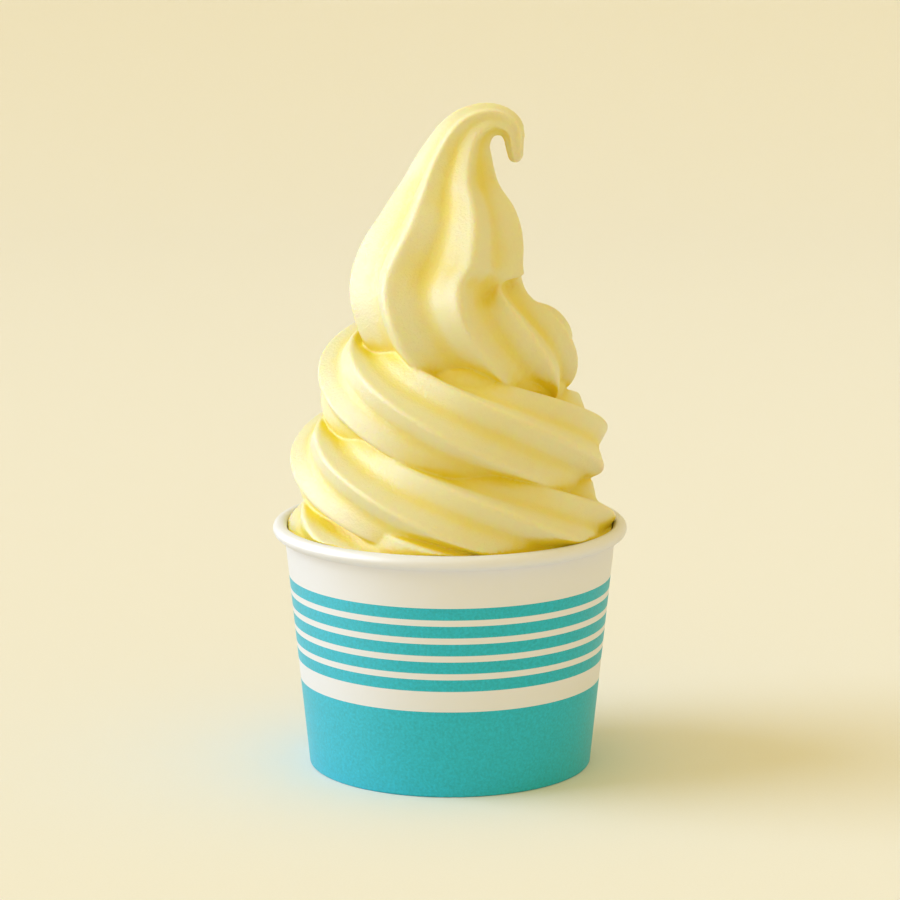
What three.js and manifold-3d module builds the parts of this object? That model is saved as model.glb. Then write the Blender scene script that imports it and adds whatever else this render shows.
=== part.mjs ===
// Soft serve in a striped paper cup: millimetres, +Z up, the cup stands on z = 0 at the origin.
import * as THREE from "three";
import { mergeVertices } from "three/addons/utils/BufferGeometryUtils.js";
import Module from "manifold-3d";

// Paper cup
const FOOT_RADIUS = 38;
const WALL_FLARE = 0.1016; // radius gained for each millimetre of height
const PAPER = 0.7;
const RIM_RADIUS = 47.5;
const ROLL_RADIUS = 1.9; // of the rolled rim's round section
const CUP_HEIGHT = 66.4;
const HEM_HEIGHT = 6.5; // of the wall's edge, folded up inside the foot
const HEM_THICKNESS = 2.1;
const BASE_HEIGHT = 7; // underside of the recessed base
const ROUND_STEPS = 64;
const ROLL_STEPS = 8;

// Soft serve rope, laid in a rising coil
const FIT_GAP = 0.3; // between the soft serve and the paper, and between the papers
const FIRST_TURN = -1;
const LAST_TURN = 2;
const STATIONS_PER_TURN = 12;
const COIL_CENTRE = [0.8, -2.1];
const ROPE_HALF_WIDTH = 13.3;
const ROPE_HALF_HEIGHT = 12.4;
const ROPE_SWELL = 0.6; // half height gained for each turn

// Reach and height of the coil's centre line at each half turn, on the right and the left in turn
const COIL_ROWS = [
  [29.5, 56],
  [30.3, 62.3],
  [28.8, 65.5],
  [28.7, 82.2],
  [27, 87.7],
  [21.7, 104.3],
  [18.1, 110.8],
];

// Top of the rope, from the last coil round its bend to the hooked tip: x, y, z, half width, half height
// and, on the bend, how far the ridges are twisted in degrees
const TIP_ROWS = [
  [17.5, -9.1, 113, 14.5, 14.2, -36],
  [8.4, -10.9, 116.4, 17.4, 17.6, -15],
  [0.8, -11, 120.7, 20.3, 19.4, -2],
  [-2, -8.8, 127.5, 21.5, 20],
  [-1.2, -6.3, 136.5, 21.3, 19.4],
  [0.7, -5.1, 147.2, 18.4, 16.4],
  [1.5, -4.4, 159.6, 12, 10.9],
  [4.8, -4.5, 170, 6.8, 6.7],
  [10.6, -4.3, 173.9, 4.3, 4.2],
  [15.9, -4.3, 171.9, 3.1, 3.1],
  [17.1, -4.3, 164.8, 2, 1.9],
];

// Ridges that the star-shaped nozzle leaves along the rope
const RIDGES = 7;
const RIDGE_DEPTH = 0.105; // share of the rope's half thickness
const RIDGE_SHARES = [1, 0.14, 0.08, 0.045]; // of the wave and of finer ones that sharpen the crests
const RIDGE_AZIMUTH = THREE.MathUtils.degToRad(-75);
const RIDGE_TWIST = THREE.MathUtils.degToRad(42); // in each turn of the coil
const POINTS_PER_RIDGE = 6;
const STEPS_PER_STATION = 3;
const TUCK = 0.1; // share that a length's hidden end is drawn in
const CHORD_SHARE = 0.42; // length of path that sets a section's slant, in half widths each way

// Pinch on the inside of the bend below the tip
const PINCH_PLACE = new THREE.Vector3(3, -11, 119.8);
const PINCH_DEPTH = 0.19; // share of the rope's half thickness
const PINCH_LENGTH = 7.2;
const PINCH_AZIMUTH = THREE.MathUtils.degToRad(-36);
const PINCH_SPREAD = THREE.MathUtils.degToRad(16);

// Fill between the coils and down to the base: radius and height of its upper corners
const FILL = [
  [RIM_RADIUS, 64.8],
  [31, 66],
  [30.8, 105],
  [29, 109],
  [27.5, 111.5],
  [8, 118],
];

const WELD = 1e-3; // points nearer than this are one point
const SLIVER = 0.05; // facets thinner than this are merged into their neighbours
const UP = new THREE.Vector3(0, 0, 1);
const wasm = await Module();
wasm.setup();

const wallRadius = (z) => FOOT_RADIUS + WALL_FLARE * z;
const innerRadius = (z) => wallRadius(z) - PAPER;

// A body turned round the Z axis from a profile of [radius, height] corners.
function turned(profile) {
  const corners = profile.map(([radius, height]) => new THREE.Vector2(radius, height));
  return new THREE.LatheGeometry(corners, ROUND_STEPS).rotateX(Math.PI / 2);
}

// A closed geometry as a solid that can be joined and cut.
function solidOf(geometry) {
  const bare = geometry.clone();
  bare.deleteAttribute("normal");
  bare.deleteAttribute("uv");
  const merged = mergeVertices(bare, WELD);
  const triVerts = [];
  for (let i = 0; i < merged.index.count; i += 3) {
    const [a, b, c] = merged.index.array.slice(i, i + 3);
    if (a !== b && b !== c && c !== a) {
      triVerts.push(a, b, c);
    }
  }
  const vertProperties = new Float32Array(merged.attributes.position.array);
  return new wasm.Manifold(
    new wasm.Mesh({ numProp: 3, vertProperties, triVerts: new Uint32Array(triVerts) }),
  );
}

// A solid as a geometry again.
function geometryOf(solid) {
  const mesh = solid.getMesh();
  const geometry = new THREE.BufferGeometry();
  geometry.setAttribute("position", new THREE.BufferAttribute(mesh.vertProperties, 3));
  geometry.setIndex(new THREE.BufferAttribute(mesh.triVerts, 1));
  geometry.computeVertexNormals();
  return geometry;
}

// A smooth curve through points, each point one unit of its parameter apart.
function smoothCurve(points) {
  return new THREE.CatmullRomCurve3(points, false, "catmullrom", 0.5);
}

// Centres and sizes along the rope: each size holds the half width, half height and twist of the ridges.
function ropeStations() {
  const halfTurns = smoothCurve(COIL_ROWS.map(([reach, height]) => new THREE.Vector3(reach, 0, height)));
  const count = (LAST_TURN - FIRST_TURN) * STATIONS_PER_TURN;
  const centres = [];
  const sizes = [];
  for (let i = 0; i <= count; i++) {
    const turn = FIRST_TURN + i / STATIONS_PER_TURN;
    const { x: reach, z: height } = halfTurns.getPoint(i / count);
    const spoke = new THREE.Vector3(reach, 0, height).applyAxisAngle(UP, -2 * Math.PI * turn);
    centres.push(spoke.add(new THREE.Vector3(...COIL_CENTRE, 0)));
    const halfHeight = ROPE_HALF_HEIGHT + ROPE_SWELL * turn;
    const twist = RIDGE_TWIST * (LAST_TURN - turn) - (2 * Math.PI) / RIDGES;
    sizes.push(new THREE.Vector3(ROPE_HALF_WIDTH, halfHeight, twist));
  }
  for (const [x, y, z, halfWidth, halfHeight, twist = 0] of TIP_ROWS) {
    centres.push(new THREE.Vector3(x, y, z));
    sizes.push(new THREE.Vector3(halfWidth, halfHeight, THREE.MathUtils.degToRad(twist)));
  }
  return { centres, sizes };
}

// The point that lies a distance along the path from one of its points, forward or back.
function pointAlong(path, index, distance, direction) {
  let left = distance;
  let at = index;
  while (path[at + direction]) {
    const gap = path[at].distanceTo(path[at + direction]);
    if (gap >= left) {
      return path[at].clone().lerp(path[at + direction], left / gap);
    }
    left -= gap;
    at += direction;
  }
  return path[at].clone();
}

// One ridged section of the rope, as points round its centre.
function ropeRing(centre, size, direction) {
  const turn = new THREE.Quaternion().setFromUnitVectors(UP, direction);
  const side = new THREE.Vector3().crossVectors(direction, UP).normalize();
  const rise = new THREE.Vector3().crossVectors(side, direction);
  const nearBend = centre.distanceTo(PINCH_PLACE) / PINCH_LENGTH;
  const ring = [];
  for (let j = 0; j < RIDGES * POINTS_PER_RIDGE; j++) {
    const wave = (2 * Math.PI * j) / POINTS_PER_RIDGE;
    const angle = wave / RIDGES + RIDGE_AZIMUTH + size.z;
    const waves = RIDGE_SHARES.map((share, n) => share * Math.cos((n + 1) * wave));
    const ridge = RIDGE_DEPTH * waves.reduce((sum, height) => sum + height, 0);
    const pinch = PINCH_DEPTH * Math.exp(-(nearBend ** 2) - ((angle - PINCH_AZIMUTH) / PINCH_SPREAD) ** 2);
    const spoke = new THREE.Vector3(Math.cos(angle), Math.sin(angle), 0);
    spoke.multiplyScalar(1 + ridge - pinch).applyQuaternion(turn);
    const point = centre.clone();
    point.addScaledVector(side, spoke.dot(side) * size.x);
    point.addScaledVector(rise, spoke.dot(rise) * size.y);
    ring.push(point);
  }
  return ring;
}

// All sections of the rope, each with its centre first.
function ropeRings() {
  const { centres, sizes } = ropeStations();
  const centreCurve = smoothCurve(centres);
  const sizeCurve = smoothCurve(sizes);
  const steps = (centres.length - 1) * STEPS_PER_STATION;
  const path = centreCurve.getPoints(steps);
  return path.map((centre, i) => {
    const size = sizeCurve.getPoint(i / steps);
    const ahead = pointAlong(path, i, CHORD_SHARE * size.x, 1);
    const behind = pointAlong(path, i, CHORD_SHARE * size.x, -1);
    const direction = ahead.sub(behind).normalize();
    return [centre, ...ropeRing(centre, size, direction)];
  });
}

// A section drawn in towards its centre, so that the end of a length hides inside the next length.
function tucked(ring) {
  return ring.map((point) => point.clone().lerp(ring[0], TUCK));
}

// A closed length of rope through some of its sections.
function ropeLength(rings) {
  const width = rings[0].length;
  const sides = width - 1;
  const last = (rings.length - 1) * width;
  const faces = [];
  for (let j = 0; j < sides; j++) {
    const a = 1 + j;
    const b = 1 + ((j + 1) % sides);
    faces.push(0, b, a);
    faces.push(last, last + a, last + b);
    for (let base = 0; base < last; base += width) {
      faces.push(base + a, base + b, base + width + b);
      faces.push(base + a, base + width + b, base + width + a);
    }
  }
  const geometry = new THREE.BufferGeometry().setFromPoints(rings.flat());
  return geometry.setIndex(faces);
}

// Space that the soft serve may fill: inside the paper, clear of the rolled rim, free above it.
function fillSpace() {
  const floor = BASE_HEIGHT + PAPER + FIT_GAP;
  const lip = CUP_HEIGHT - 2 * ROLL_RADIUS;
  const throat = RIM_RADIUS - 2 * ROLL_RADIUS - FIT_GAP;
  const top = CUP_HEIGHT + FIT_GAP;
  const over = 2 * CUP_HEIGHT;
  return solidOf(
    turned([
      [0, floor],
      [innerRadius(floor) - FIT_GAP, floor],
      [Math.min(innerRadius(lip) - FIT_GAP, throat), lip],
      [throat, top],
      [RIM_RADIUS, top],
      [RIM_RADIUS, top + over],
      [0, top + over],
    ]),
  );
}

// The coils joined to the fill below and between them, cut to the space they have.
function softServe() {
  const rings = ropeRings();
  const perLength = (STATIONS_PER_TURN / 2) * STEPS_PER_STATION;
  const fill = turned([
    [0, BASE_HEIGHT],
    [RIM_RADIUS, BASE_HEIGHT],
    ...FILL,
    [0, FILL.at(-1)[1]],
  ]);
  const lengths = [solidOf(fill)];
  for (let first = 0; first < rings.length - 1; first += perLength) {
    const before = rings.slice(Math.max(first - 1, 0), first).map(tucked);
    const after = rings.slice(first + perLength + 1, first + perLength + 2).map(tucked);
    const own = rings.slice(first, first + perLength + 1);
    lengths.push(solidOf(ropeLength([...before, ...own, ...after])));
  }
  const joined = wasm.Manifold.union(lengths).intersect(fillSpace()).simplify(SLIVER);
  const bodies = solidOf(geometryOf(joined)).decompose();
  return geometryOf(bodies.sort((a, b) => b.volume() - a.volume())[0]);
}

// Side wall: hem folded up inside the foot, flared paper, edge rolled outward into the rim.
function cupWall() {
  const rollCentre = [RIM_RADIUS - ROLL_RADIUS, CUP_HEIGHT - ROLL_RADIUS];
  const underRoll = rollCentre[1] - ROLL_RADIUS * Math.SQRT1_2;
  const meets = Math.acos((wallRadius(underRoll) - rollCentre[0]) / ROLL_RADIUS);
  const roll = [];
  for (let i = 0; i <= ROLL_STEPS; i++) {
    const angle = -meets + ((Math.PI + meets) * i) / ROLL_STEPS;
    roll.push([
      rollCentre[0] + ROLL_RADIUS * Math.cos(angle),
      rollCentre[1] + ROLL_RADIUS * Math.sin(angle),
    ]);
  }
  const profile = [
    [wallRadius(0), 0],
    ...roll,
    [innerRadius(underRoll), underRoll],
    [innerRadius(HEM_HEIGHT), HEM_HEIGHT],
    [wallRadius(HEM_HEIGHT) - HEM_THICKNESS, HEM_HEIGHT],
    [wallRadius(0) - HEM_THICKNESS, 0],
  ];
  return turned([...profile, profile[0]]);
}

// Recessed base: a paper disc that sits on the hem.
function cupBase() {
  const top = BASE_HEIGHT + PAPER;
  return turned([
    [0, BASE_HEIGHT],
    [innerRadius(BASE_HEIGHT) - FIT_GAP, BASE_HEIGHT],
    [innerRadius(top) - FIT_GAP, top],
    [0, top],
  ]);
}

function piece(name, geometry, color, roughness) {
  const mesh = new THREE.Mesh(
    geometry,
    new THREE.MeshStandardMaterial({ color, roughness, metalness: 0 }),
  );
  mesh.name = name;
  return mesh;
}

const softServeCup = new THREE.Group();
softServeCup.add(piece("soft_serve", softServe(), 0xf6e7a2, 0.55));
softServeCup.add(piece("cup_wall", cupWall(), 0x4cb8b4, 0.5));
softServeCup.add(piece("cup_base", cupBase(), 0xf4f1e8, 0.6));

export default softServeCup;
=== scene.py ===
"""Soft serve in a striped paper cup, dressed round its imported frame, in metres with +Z up."""

import logging
import math
from dataclasses import dataclass
from enum import Enum
from typing import Any

import bpy
import numpy as np
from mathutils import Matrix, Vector
from mathutils.bvhtree import BVHTree


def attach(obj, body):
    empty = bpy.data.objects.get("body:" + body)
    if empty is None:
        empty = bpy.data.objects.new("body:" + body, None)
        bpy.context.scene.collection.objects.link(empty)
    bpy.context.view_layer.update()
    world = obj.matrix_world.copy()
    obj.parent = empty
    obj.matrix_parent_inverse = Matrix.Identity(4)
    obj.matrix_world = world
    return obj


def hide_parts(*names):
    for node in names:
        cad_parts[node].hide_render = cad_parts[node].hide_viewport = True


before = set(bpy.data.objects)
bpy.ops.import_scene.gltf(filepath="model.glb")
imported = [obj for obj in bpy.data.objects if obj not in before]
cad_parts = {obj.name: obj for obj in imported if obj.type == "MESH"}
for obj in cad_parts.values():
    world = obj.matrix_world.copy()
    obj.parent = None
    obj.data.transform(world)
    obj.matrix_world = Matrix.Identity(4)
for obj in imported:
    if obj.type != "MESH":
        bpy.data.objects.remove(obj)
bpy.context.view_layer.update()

LOG = logging.getLogger("soft_serve_cup")
MM = 0.001
BODY = "root"


class Node(Enum):
    """Names of the solids that the scene's pieces stand for."""

    SOFT_SERVE = "soft_serve"
    WALL = "cup_wall"
    BASE = "cup_base"


class Slot(Enum):
    """Names of the record's material slots."""

    SOFT_SERVE = "soft_serve"
    PRINTED = "printed_paper"
    PLAIN = "plain_paper"


def linear(code: str) -> tuple[float, float, float, float]:
    """Turn an sRGB hex colour into linear red, green, blue and alpha.

    Args:
        code: The colour as "#RRGGBB".

    Returns:
        The linear colour with alpha 1.
    """
    parts = [int(code[i : i + 2], 16) / 255 for i in (1, 3, 5)]
    flat = [p / 12.92 if p <= 0.04045 else ((p + 0.055) / 1.055) ** 2.4 for p in parts]
    return (*flat, 1.0)


def feed(tree: bpy.types.NodeTree, node: bpy.types.Node, links: dict[str | int, Any]) -> None:
    """Link or set a node's inputs.

    Args:
        tree: The node tree that holds the node.
        node: The node.
        links: For each input, a socket to link or a value to set.
    """
    for key, value in links.items():
        if isinstance(value, bpy.types.NodeSocket):
            tree.links.new(value, node.inputs[key])
        else:
            node.inputs[key].default_value = value


def add_node(tree: bpy.types.NodeTree, kind: str, settings: dict[str, Any] | None = None,
             links: dict[str | int, Any] | None = None) -> bpy.types.Node:
    """Add a node with its settings, values and links.

    Args:
        tree: The node tree that takes the node.
        kind: The node's type name.
        settings: Values of the node's own properties.
        links: For each input, a socket to link or a value to set.

    Returns:
        The new node.
    """
    node = tree.nodes.new(kind)
    for name, value in (settings or {}).items():
        setattr(node, name, value)
    feed(tree, node, links or {})
    return node


def new_material(name: str) -> tuple[bpy.types.Material, bpy.types.NodeTree, bpy.types.Node]:
    """Make a material that holds only a surface shader and its output.

    Args:
        name: The material's name.

    Returns:
        The material, its node tree and its surface shader.
    """
    material = bpy.data.materials.new(name)
    material.use_nodes = True
    tree = material.node_tree
    tree.nodes.clear()
    shader = add_node(tree, "ShaderNodeBsdfPrincipled")
    add_node(tree, "ShaderNodeOutputMaterial", links={"Surface": shader.outputs[0]})
    return material, tree, shader


def new_tree(name: str, inputs: dict[str, str], output: str) -> tuple[bpy.types.NodeTree, dict[str, str]]:
    """Start a Geometry Nodes tree with named inputs and one geometry output.

    Args:
        name: The tree's name.
        inputs: The kind of each named input.
        output: The output's name.

    Returns:
        The tree, and the identifier of each named input.
    """
    tree = bpy.data.node_groups.new(name, "GeometryNodeTree")
    identifiers = {}
    for key, kind in inputs.items():
        socket = tree.interface.new_socket(key, in_out="INPUT", socket_type="NodeSocket" + kind)
        identifiers[key] = socket.identifier
    tree.interface.new_socket(output, in_out="OUTPUT", socket_type="NodeSocketGeometry")
    return tree, identifiers


def end_tree(tree: bpy.types.NodeTree, shape: bpy.types.NodeSocket, material: bpy.types.NodeSocket) -> None:
    """End a Geometry Nodes tree in plain mesh that carries its material.

    Args:
        tree: The tree.
        shape: The finished shape.
        material: The tree's material input.
    """
    whole = add_node(tree, "GeometryNodeRealizeInstances", links={0: shape})
    dressed = add_node(tree, "GeometryNodeSetMaterial", links={
        "Geometry": whole.outputs[0], "Material": material})
    add_node(tree, "NodeGroupOutput", links={0: dressed.outputs[0]})


def put_tree(piece: bpy.types.Object, tree: bpy.types.NodeTree, identifiers: dict[str, str],
             values: dict[str, Any]) -> None:
    """Put a Geometry Nodes tree on an object.

    Args:
        piece: The object.
        tree: The tree.
        identifiers: The identifier of each named input.
        values: The value of each named input, apart from the object's own shape.
    """
    modifier = piece.modifiers.new(tree.name, "NODES")
    modifier.node_group = tree
    for key, value in values.items():
        modifier[identifiers[key]] = value


def new_object(name: str, mesh: bpy.types.Mesh) -> bpy.types.Object:
    """Put a mesh into the scene as an object at the origin.

    Args:
        name: The object's name.
        mesh: Its mesh.

    Returns:
        The new object.
    """
    made = bpy.data.objects.new(name, mesh)
    bpy.context.scene.collection.objects.link(made)
    return made


def read_vectors(mesh: bpy.types.Mesh, name: str) -> np.ndarray:
    """Read a vector of each point of a mesh.

    Args:
        mesh: The mesh.
        name: The vector's name, "co" for the place or "normal".

    Returns:
        One row for each point.
    """
    values = np.empty(len(mesh.vertices) * 3, np.float32)
    mesh.vertices.foreach_get(name, values)
    return values.reshape(-1, 3)


def move_points(mesh: bpy.types.Mesh, points: np.ndarray) -> None:
    """Give the points of a mesh new places, in metres."""
    mesh.vertices.foreach_set("co", points.astype(np.float32).ravel())
    mesh.update()


def store(mesh: bpy.types.Mesh, name: str, values: np.ndarray) -> None:
    """Store a number for each point of a mesh under a name."""
    attribute = mesh.attributes.new(name, "FLOAT", "POINT")
    attribute.data.foreach_set("value", values.astype(np.float32))


def evened(mesh: bpy.types.Mesh, passes: int) -> tuple[np.ndarray, np.ndarray]:
    """Even out a mesh by drawing each point to the middle of its neighbours, pass after pass.

    Args:
        mesh: The mesh, which is left as it is.
        passes: The number of passes.

    Returns:
        The mesh's points and the evened points, in metres.
    """
    points = read_vectors(mesh, "co").astype(np.float64)
    count = len(points)
    edges = np.empty(len(mesh.edges) * 2, np.int32)
    mesh.edges.foreach_get("vertices", edges)
    first, second = edges.reshape(-1, 2).T
    degree = np.maximum(np.bincount(first, minlength=count) + np.bincount(second, minlength=count), 1)
    even = points.copy()
    for _ in range(passes):
        even = np.stack([
            np.bincount(first, axis[second], count) + np.bincount(second, axis[first], count)
            for axis in even.T], axis=1) / degree[:, None]
    return points, even


def applied(piece: bpy.types.Object) -> bpy.types.Object:
    """Turn an object's live modifiers into plain mesh.

    Args:
        piece: The object with its modifiers.

    Returns:
        The same object, holding the finished mesh and no modifier.
    """
    depsgraph = bpy.context.evaluated_depsgraph_get()
    mesh = bpy.data.meshes.new_from_object(piece.evaluated_get(depsgraph))
    piece.modifiers.clear()
    piece.data = mesh
    mesh.name = piece.name
    return piece


def along(rows: np.ndarray, at: float) -> np.ndarray:
    """Read a smooth curve through rows of values.

    Args:
        rows: The values that the curve passes through, one row for each unit of its parameter.
        at: The parameter, from 0 to the last row.

    Returns:
        The curve's values there.
    """
    i = min(int(at), len(rows) - 2)
    f = at - i
    start, end = rows[i], rows[i + 1]
    before = rows[i - 1] if i > 0 else 2 * start - end
    after = rows[i + 2] if i + 2 < len(rows) else 2 * end - start
    leave, arrive = (end - before) / 2, (after - start) / 2
    ease = f * f * (3 - 2 * f)
    return start + ease * (end - start) + f * (1 - f) ** 2 * leave + f * f * (f - 1) * arrive


def turned_mesh(name: str, profile: list[tuple[float, float]], azimuths: np.ndarray,
                closed: bool) -> bpy.types.Mesh:
    """Turn a profile round the Z axis.

    Args:
        name: The mesh's name.
        profile: Corners as (radius, height) in millimetres, listed with the outside to their right.
        azimuths: Angles of the turned copies, in radians.
        closed: Whether the last corner joins the first one.

    Returns:
        The mesh, in metres, with a corner on the axis made one point.
    """
    points: list[tuple[float, float, float]] = []
    rings: list[list[int]] = []
    count = len(azimuths)
    for radius, height in profile:
        if radius == 0:
            rings.append([len(points)] * count)
            points.append((0.0, 0.0, height * MM))
            continue
        rings.append(list(range(len(points), len(points) + count)))
        points += [(radius * MM * math.cos(a), radius * MM * math.sin(a), height * MM) for a in azimuths]
    pairs = list(zip(rings, rings[1:] + rings[:1])) if closed else list(zip(rings, rings[1:]))
    faces = []
    for low, high in pairs:
        for j in range(count):
            corners = [low[j], low[(j + 1) % count], high[(j + 1) % count], high[j]]
            faces.append(list(dict.fromkeys(corners)))
    mesh = bpy.data.meshes.new(name)
    mesh.from_pydata(points, [], faces)
    mesh.shade_smooth()
    return mesh


@dataclass(frozen=True)
class SoftServeFinish:
    """Soft serve: whipped frozen milk mix, drawn through a star nozzle.

    Light sinks about a millimetre in, so shade is warm and soft. Crests carry fine, faintly frosty ice grain.
    Their paler colour is a painted highlight, the deeper custard yellow of the valleys is painted shade, and
    the golden colour of closed hollows is painted shade too.
    """

    # Painted light: the pale crest colour is a painted highlight, and the deeper valley colour is painted
    # shade
    painted_crest_highlight: str = "#E4E0BD"
    painted_valley_shade: str = "#E6D980"
    # Painted shade: the golden colour of closed-in creases and hollows, where little light reaches
    painted_crease_shade: str = "#E5D038"
    crest_limits: tuple[float, float] = (-0.55, 0.95)
    crease_shade_limits: tuple[float, float] = (0.08, 0.42)
    cloud_mm: float = 7.0
    cloud_share: float = 0.5
    # Ice crystals measure about 0.05 mm, so the grain is drawn coarser to show
    grain_mm: float = 0.7
    grain_depth_mm: float = 0.25
    scatter_mm: float = 0.9
    scatter_colours: tuple[float, float, float] = (1.0, 0.62, 0.13)

    def material(self) -> bpy.types.Material:
        """Build the material.

        Returns:
            The soft serve material, which reads the mesh's relief and closed-in attributes to paint a
            highlight on crests and shade in valleys and hollows.
        """
        material, tree, shader = new_material("soft_serve_ice_cream")
        place = add_node(tree, "ShaderNodeTexCoord").outputs["Object"]
        # Painted highlight and shade: points that stand out of the surface take the pale crest colour, and
        # points that lie below it take the deeper valley colour, with a random cloud of tone mixed in
        relief = add_node(tree, "ShaderNodeAttribute", {"attribute_name": SoftServe.RELIEF})
        cloud = add_node(tree, "ShaderNodeTexNoise", links={
            "Vector": place, "Scale": 1 / (self.cloud_mm * MM), "Detail": 2.0})
        height = add_node(tree, "ShaderNodeMath", {"operation": "MULTIPLY_ADD"}, {
            0: cloud.outputs[0], 1: self.cloud_share, 2: relief.outputs["Fac"]})
        share = add_node(tree, "ShaderNodeMapRange", {"interpolation_type": "SMOOTHSTEP"}, {
            "Value": height.outputs[0], "From Min": self.crest_limits[0], "From Max": self.crest_limits[1]})
        colour = add_node(tree, "ShaderNodeMix", {"data_type": "RGBA"}, {
            0: share.outputs[0], 6: linear(self.painted_valley_shade), 7: linear(self.painted_crest_highlight)})
        # Painted shade: the more closed in a point is, as in creases and hollows, the nearer its colour is to
        # the golden crease colour
        painted_crease_shade = add_node(tree, "ShaderNodeAttribute", {"attribute_name": SoftServe.CREASE_SHADE})
        depth = add_node(tree, "ShaderNodeMapRange", {"interpolation_type": "SMOOTHSTEP"}, {
            "Value": painted_crease_shade.outputs["Fac"], "From Min": self.crease_shade_limits[0],
            "From Max": self.crease_shade_limits[1]})
        crease_shaded = add_node(tree, "ShaderNodeMix", {"data_type": "RGBA"}, {
            0: depth.outputs[0], 6: colour.outputs[2], 7: linear(self.painted_crease_shade)})
        grain = add_node(tree, "ShaderNodeTexNoise", links={
            "Vector": place, "Scale": 1 / (self.grain_mm * MM), "Detail": 3.0, "Roughness": 0.6})
        bump = add_node(tree, "ShaderNodeBump", links={
            "Strength": 0.8, "Distance": self.grain_depth_mm * MM, "Height": grain.outputs[0]})
        feed(tree, shader, {
            "Base Color": crease_shaded.outputs[2],
            "Normal": bump.outputs[0],
            "Roughness": 0.5,
            "Specular IOR Level": 0.3,
            "IOR": 1.36,
            "Subsurface Weight": 1.0,
            "Subsurface Radius": self.scatter_colours,
            "Subsurface Scale": self.scatter_mm * MM,
        })
        return material


@dataclass(frozen=True)
class PrintedPaperFinish:
    """Coated cup paper with flat-ink print: a white sheet, satin from its thin moisture coat.

    The teal ink takes the paper's fibre as a fine speckle, and its edges are crisp.
    """

    paper: str = "#E3E6F8"
    ink: str = "#2CB8DC"
    stripe_top_mm: float = 52.0
    stripe_pitch_mm: float = 4.87
    stripe_mm: float = 3.2
    stripes: int = 5
    band_top_mm: float = 23.7
    # Ink speckle and paper fibre measure about 0.1 mm, so both are drawn coarser to show
    speckle_mm: float = 0.7
    fibre_mm: float = 0.9
    fibre_depth_mm: float = 0.1

    def material(self) -> bpy.types.Material:
        """Build the material.

        Returns:
            The printed paper material, which reads where the mesh is the wall's outside.
        """
        material, tree, shader = new_material("coated_printed_paper")
        place = add_node(tree, "ShaderNodeTexCoord").outputs["Object"]
        height = add_node(tree, "ShaderNodeSeparateXYZ", links={0: place}).outputs[2]
        row = add_node(tree, "ShaderNodeMapRange", {"clamp": False}, {
            "Value": height, "From Min": self.stripe_top_mm * MM,
            "From Max": (self.stripe_top_mm - self.stripe_pitch_mm) * MM}).outputs[0]
        across = add_node(tree, "ShaderNodeMath", {"operation": "FRACT"}, {0: row}).outputs[0]
        inked = add_node(tree, "ShaderNodeMath", {"operation": "LESS_THAN"}, {
            0: across, 1: self.stripe_mm / self.stripe_pitch_mm}).outputs[0]
        below_top = add_node(tree, "ShaderNodeMath", {"operation": "GREATER_THAN"}, {
            0: row, 1: 0.0}).outputs[0]
        above_end = add_node(tree, "ShaderNodeMath", {"operation": "LESS_THAN"}, {
            0: row, 1: float(self.stripes)}).outputs[0]
        field = add_node(tree, "ShaderNodeMath", {"operation": "MULTIPLY"}, {
            0: below_top, 1: above_end}).outputs[0]
        stripes = add_node(tree, "ShaderNodeMath", {"operation": "MULTIPLY"}, {
            0: inked, 1: field}).outputs[0]
        band = add_node(tree, "ShaderNodeMath", {"operation": "LESS_THAN"}, {
            0: height, 1: self.band_top_mm * MM}).outputs[0]
        print_field = add_node(tree, "ShaderNodeMath", {"operation": "MAXIMUM"}, {
            0: stripes, 1: band}).outputs[0]
        outside = add_node(tree, "ShaderNodeAttribute", {"attribute_name": PaperCup.OUTSIDE}).outputs["Fac"]
        printed = add_node(tree, "ShaderNodeMath", {"operation": "MULTIPLY"}, {
            0: print_field, 1: outside}).outputs[0]

        speckle = add_node(tree, "ShaderNodeTexNoise", links={
            "Vector": place, "Scale": 1 / (self.speckle_mm * MM), "Detail": 2.0, "Roughness": 0.7})
        shade = add_node(tree, "ShaderNodeMapRange", links={
            "Value": speckle.outputs[0], "From Min": 0.3, "From Max": 0.7, "To Min": 0.86, "To Max": 1.12})
        ink = add_node(tree, "ShaderNodeVectorMath", {"operation": "SCALE"}, {
            0: linear(self.ink)[:3], "Scale": shade.outputs[0]})
        colour = add_node(tree, "ShaderNodeMix", {"data_type": "RGBA"}, {
            0: printed, 6: linear(self.paper), 7: ink.outputs[0]})
        fibre = add_node(tree, "ShaderNodeTexNoise", links={
            "Vector": place, "Scale": 1 / (self.fibre_mm * MM), "Detail": 4.0})
        bump = add_node(tree, "ShaderNodeBump", links={
            "Strength": 0.12, "Distance": self.fibre_depth_mm * MM, "Height": fibre.outputs[0]})
        feed(tree, shader, {
            "Base Color": colour.outputs[2],
            "Normal": bump.outputs[0],
            "Roughness": 0.42,
            "IOR": 1.5,
            "Specular IOR Level": 0.25,
        })
        return material


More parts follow.
